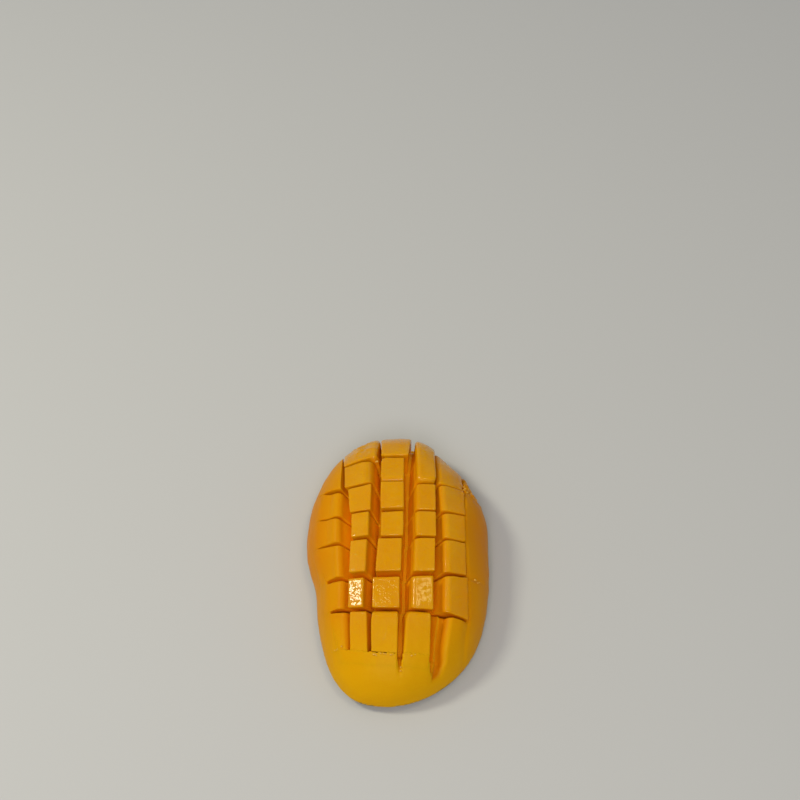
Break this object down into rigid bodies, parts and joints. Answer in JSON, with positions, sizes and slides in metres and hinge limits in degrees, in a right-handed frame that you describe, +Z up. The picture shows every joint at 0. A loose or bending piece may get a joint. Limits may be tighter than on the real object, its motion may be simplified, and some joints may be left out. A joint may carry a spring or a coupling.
{
  "type": "cubed mango half",
  "caption": "Mango cheek scored into cubes and turned inside out, so the flesh domes up and its columns fan apart over the hollow skin.",
  "frame": {"origin": "on the table under the middle of the half", "axes": "+Z up out of the cubed flesh, +Y along the half toward its cubed end, -Y toward its smooth uncut end, +X across the long cuts"},
  "size_m": [0.0681, 0.1094, 0.0292],
  "materials": {
    "flesh": "moist ripe mango flesh, golden orange, fine wet grain with a soft gloss",
    "skin": "thin yellow-green mango skin, waxy, with small pale dots"
  },
  "bodies": {
    "root": {"mango_half": "flesh"}
  },
  "joints": []
}
